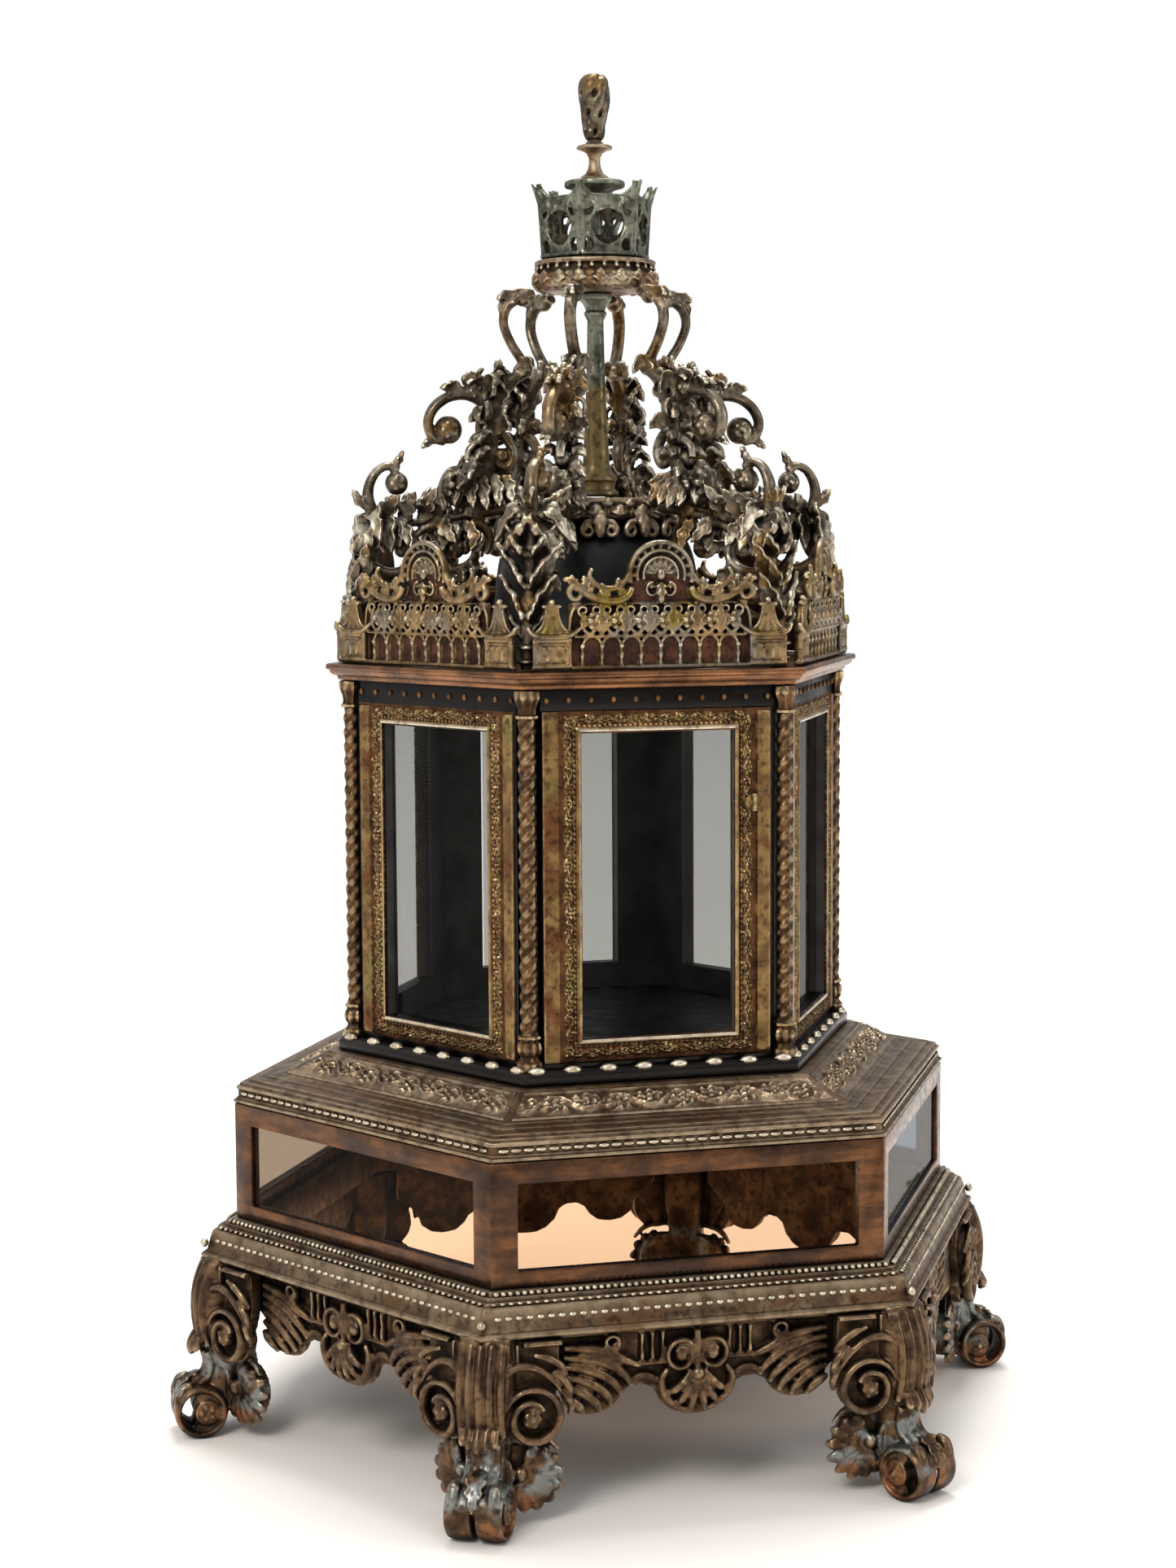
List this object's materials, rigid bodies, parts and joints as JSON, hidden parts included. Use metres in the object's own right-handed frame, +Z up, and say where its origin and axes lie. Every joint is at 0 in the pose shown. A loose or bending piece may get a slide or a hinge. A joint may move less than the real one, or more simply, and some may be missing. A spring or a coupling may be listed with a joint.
{
  "type": "lantern clock case",
  "caption": "Six-sided glazed brass lantern case on a glazed plinth, with scroll feet, a hinged door, pierced cresting, scroll ribs and an openwork crown.",
  "frame": {"origin": "on the table, under the middle of the case, at the bottom centre of its box", "axes": "+Z up, the hinged door faces -Y, corners of the hexagon on +X and -X"},
  "size_m": [0.395, 0.3546, 0.6],
  "materials": {
    "gilt_brass": "worn gilt, chased, darker in the recesses",
    "pale_brass": "pale worn brass with dark crevices",
    "brown_brass": "deep reddish brown lacquered brass",
    "dark_bronze": "dark patinated cast brass with worn bright edges",
    "dark_lining": "dull near-black sheet metal",
    "clear_glass": "clear, slightly grey"
  },
  "bodies": {
    "case": {"leg_1": "dark_bronze", "leg_2": "dark_bronze", "leg_3": "dark_bronze", "leg_4": "dark_bronze", "leg_5": "dark_bronze", "leg_6": "dark_bronze", "apron_1": "dark_bronze", "apron_2": "dark_bronze", "apron_3": "dark_bronze", "apron_4": "dark_bronze", "apron_5": "dark_bronze", "apron_6": "dark_bronze", "base_moulding": "pale_brass", "plinth_frame": "brown_brass", "plinth_glass_1": "clear_glass", "plinth_glass_2": "clear_glass", "plinth_glass_3": "clear_glass", "plinth_glass_4": "clear_glass", "plinth_glass_5": "clear_glass", "plinth_glass_6": "clear_glass", "plinth_cornice": "pale_brass", "lantern_floor": "dark_lining", "lantern_cage": "gilt_brass", "lantern_glass_2": "clear_glass", "lantern_glass_3": "clear_glass", "lantern_glass_4": "clear_glass", "lantern_glass_5": "clear_glass", "lantern_glass_6": "clear_glass", "pivot_pin_lower": "dark_bronze", "pivot_pin_upper": "dark_bronze", "column_1": "gilt_brass", "column_2": "gilt_brass", "column_3": "gilt_brass", "column_4": "gilt_brass", "column_5": "gilt_brass", "column_6": "gilt_brass", "roof_plate": "brown_brass", "cresting_1": "gilt_brass", "cresting_2": "gilt_brass", "cresting_3": "gilt_brass", "cresting_4": "gilt_brass", "cresting_5": "gilt_brass", "cresting_6": "gilt_brass", "rib_1": "dark_bronze", "rib_2": "dark_bronze", "rib_3": "dark_bronze", "rib_4": "dark_bronze", "rib_5": "dark_bronze", "rib_6": "dark_bronze", "inner_dome": "dark_lining", "platform": "dark_bronze", "centre_column": "dark_bronze", "crown_ring": "dark_bronze", "crown": "dark_bronze", "crown_cap": "dark_bronze", "finial": "dark_bronze"},
    "door": {"door_frame": "gilt_brass", "door_glass": "clear_glass"},
    "latch": {"latch_knob": "gilt_brass"}
  },
  "joints": [
    {"name": "door_hinge", "type": "hinge", "parent": "case", "child": "door", "pos_m": [-0.0486, -0.09656, 0.25], "axis": [0, 0, -1], "range_deg": [0, 105]},
    {"name": "latch_turn", "type": "hinge", "parent": "door", "child": "latch", "pos_m": [0.041, -0.1, 0.2845], "axis": [0, -1, 0], "range_deg": [0, 90]}
  ]
}
